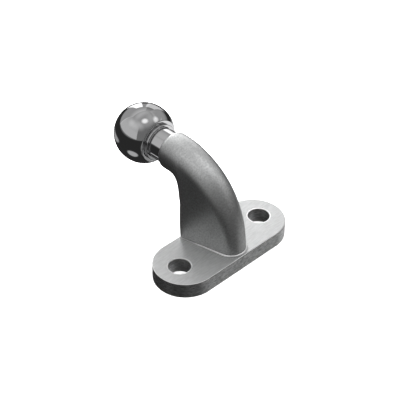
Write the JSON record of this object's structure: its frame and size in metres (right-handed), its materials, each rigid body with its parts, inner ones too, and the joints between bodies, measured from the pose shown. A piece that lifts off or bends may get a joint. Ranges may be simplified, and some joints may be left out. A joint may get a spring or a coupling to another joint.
{
  "type": "flange tow ball",
  "caption": "Swan-neck tow ball: polished coupling ball on a neck, set on a curved blasted arm that rises from a stadium-shaped bolt-on flange plate.",
  "frame": {"origin": "centre of the flange plate's mounting face, midway between the bolt holes", "axes": "+X along the bolt line, +Y the way the ball's crown points, +Z out of the plate's front face, so the mounting face looks along -Z"},
  "size_m": [0.13, 0.1383, 0.0995],
  "materials": {
    "polished_chrome": "turned, polished and chromed to a mirror",
    "blasted_steel": "forged steel, shot-blasted to a fine grain and lightly plated",
    "satin_steel": "milled steel with a satin plated face",
    "black_oxide_steel": "black oxide",
    "ground_steel": "ground bright",
    "spring_steel": "tempered, dark"
  },
  "bodies": {
    "root": {"flange_plate": "satin_steel", "gooseneck_arm": "blasted_steel", "foot_seal_bead": "satin_steel", "neck_stud": "polished_chrome", "ball_collar": "polished_chrome", "coupling_ball": "polished_chrome", "stud_lock_pin": "spring_steel", "foot_screw_front_left": "black_oxide_steel", "foot_screw_front_right": "black_oxide_steel", "foot_screw_rear": "black_oxide_steel", "dowel_pin_left": "ground_steel", "dowel_pin_right": "ground_steel"}
  },
  "joints": []
}
